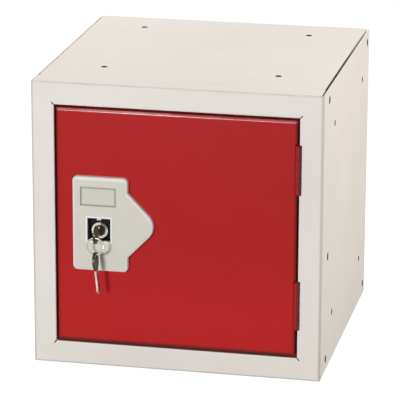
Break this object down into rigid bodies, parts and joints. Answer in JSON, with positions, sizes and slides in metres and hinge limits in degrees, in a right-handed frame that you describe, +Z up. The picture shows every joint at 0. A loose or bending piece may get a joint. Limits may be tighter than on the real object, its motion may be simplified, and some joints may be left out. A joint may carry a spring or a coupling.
{
  "type": "small locker",
  "caption": "Small steel cube locker with a flush hinged door, cam lock in a moulded surround, and keys on a split ring.",
  "frame": {"origin": "middle of the carcass's base, on the surface that it stands on", "axes": "+X to the right seen from the front, +Y from the front to the back, +Z up"},
  "size_m": [0.305, 0.3396, 0.305],
  "materials": {
    "carcass_paint": "satin powder coat, warm light grey",
    "door_paint": "semi-gloss powder coat, red",
    "hinge_paint": "semi-gloss powder coat, red",
    "buffer_rubber": "matte",
    "surround_moulding": "fine moulded texture, light grey",
    "card": "blank card, matte",
    "case_black": "black moulding, satin",
    "nickel": "bright nickel plate",
    "zinc_steel": "bright zinc plate",
    "wafer_brass": "stamped brass",
    "key_nickel": "nickel plated, lightly worn",
    "ring_steel": "nickel plated spring wire"
  },
  "bodies": {
    "carcass": {"left_side": "carcass_paint", "right_side": "carcass_paint", "top_rail": "carcass_paint", "bottom_rail": "carcass_paint", "top_panel": "carcass_paint", "bottom_panel": "carcass_paint", "back_panel": "carcass_paint", "door_buffers": "buffer_rubber", "upper_hinge_frame_leaf": "hinge_paint", "lower_hinge_frame_leaf": "hinge_paint", "upper_hinge_pin": "hinge_paint", "lower_hinge_pin": "hinge_paint"},
    "door": {"upper_hinge_door_leaf": "hinge_paint", "lower_hinge_door_leaf": "hinge_paint", "door_panel": "door_paint", "lock_surround": "surround_moulding", "number_card": "card", "lock_case": "case_black", "lock_barrel": "nickel", "lock_washer": "zinc_steel", "lock_nut": "zinc_steel"},
    "lock_cylinder": {"lock_plug": "nickel", "lock_wafers": "wafer_brass", "cam": "zinc_steel", "cam_washer": "zinc_steel", "cam_screw": "zinc_steel"},
    "key": {"key": "key_nickel"},
    "key_ring": {"key_ring": "ring_steel"},
    "spare_key": {"spare_key": "key_nickel"}
  },
  "joints": [
    {"name": "door_hinge", "type": "hinge", "parent": "carcass", "child": "door", "pos_m": [0.12725, -0.1533, 0.15], "axis": [0, 0, 1], "range_deg": [0, 110]},
    {"name": "lock_turn", "type": "hinge", "parent": "door", "child": "lock_cylinder", "pos_m": [-0.0795, -0.15, 0.15], "axis": [0, 1, 0], "range_deg": [0, 90]},
    {"name": "key_slide", "type": "slide", "parent": "lock_cylinder", "child": "key", "axis": [0, -1, 0], "range_m": [0, 0.022]},
    {"name": "ring_swing", "type": "hinge", "parent": "key", "child": "key_ring", "pos_m": [-0.0795, -0.1776, 0.15], "axis": [-1, 0, 0], "range_deg": [-6, 60]},
    {"name": "spare_key_swing", "type": "hinge", "parent": "key_ring", "child": "spare_key", "pos_m": [-0.0795, -0.1776, 0.12807], "axis": [-0.9962, 0, -0.0872], "range_deg": [-6, 60]}
  ]
}
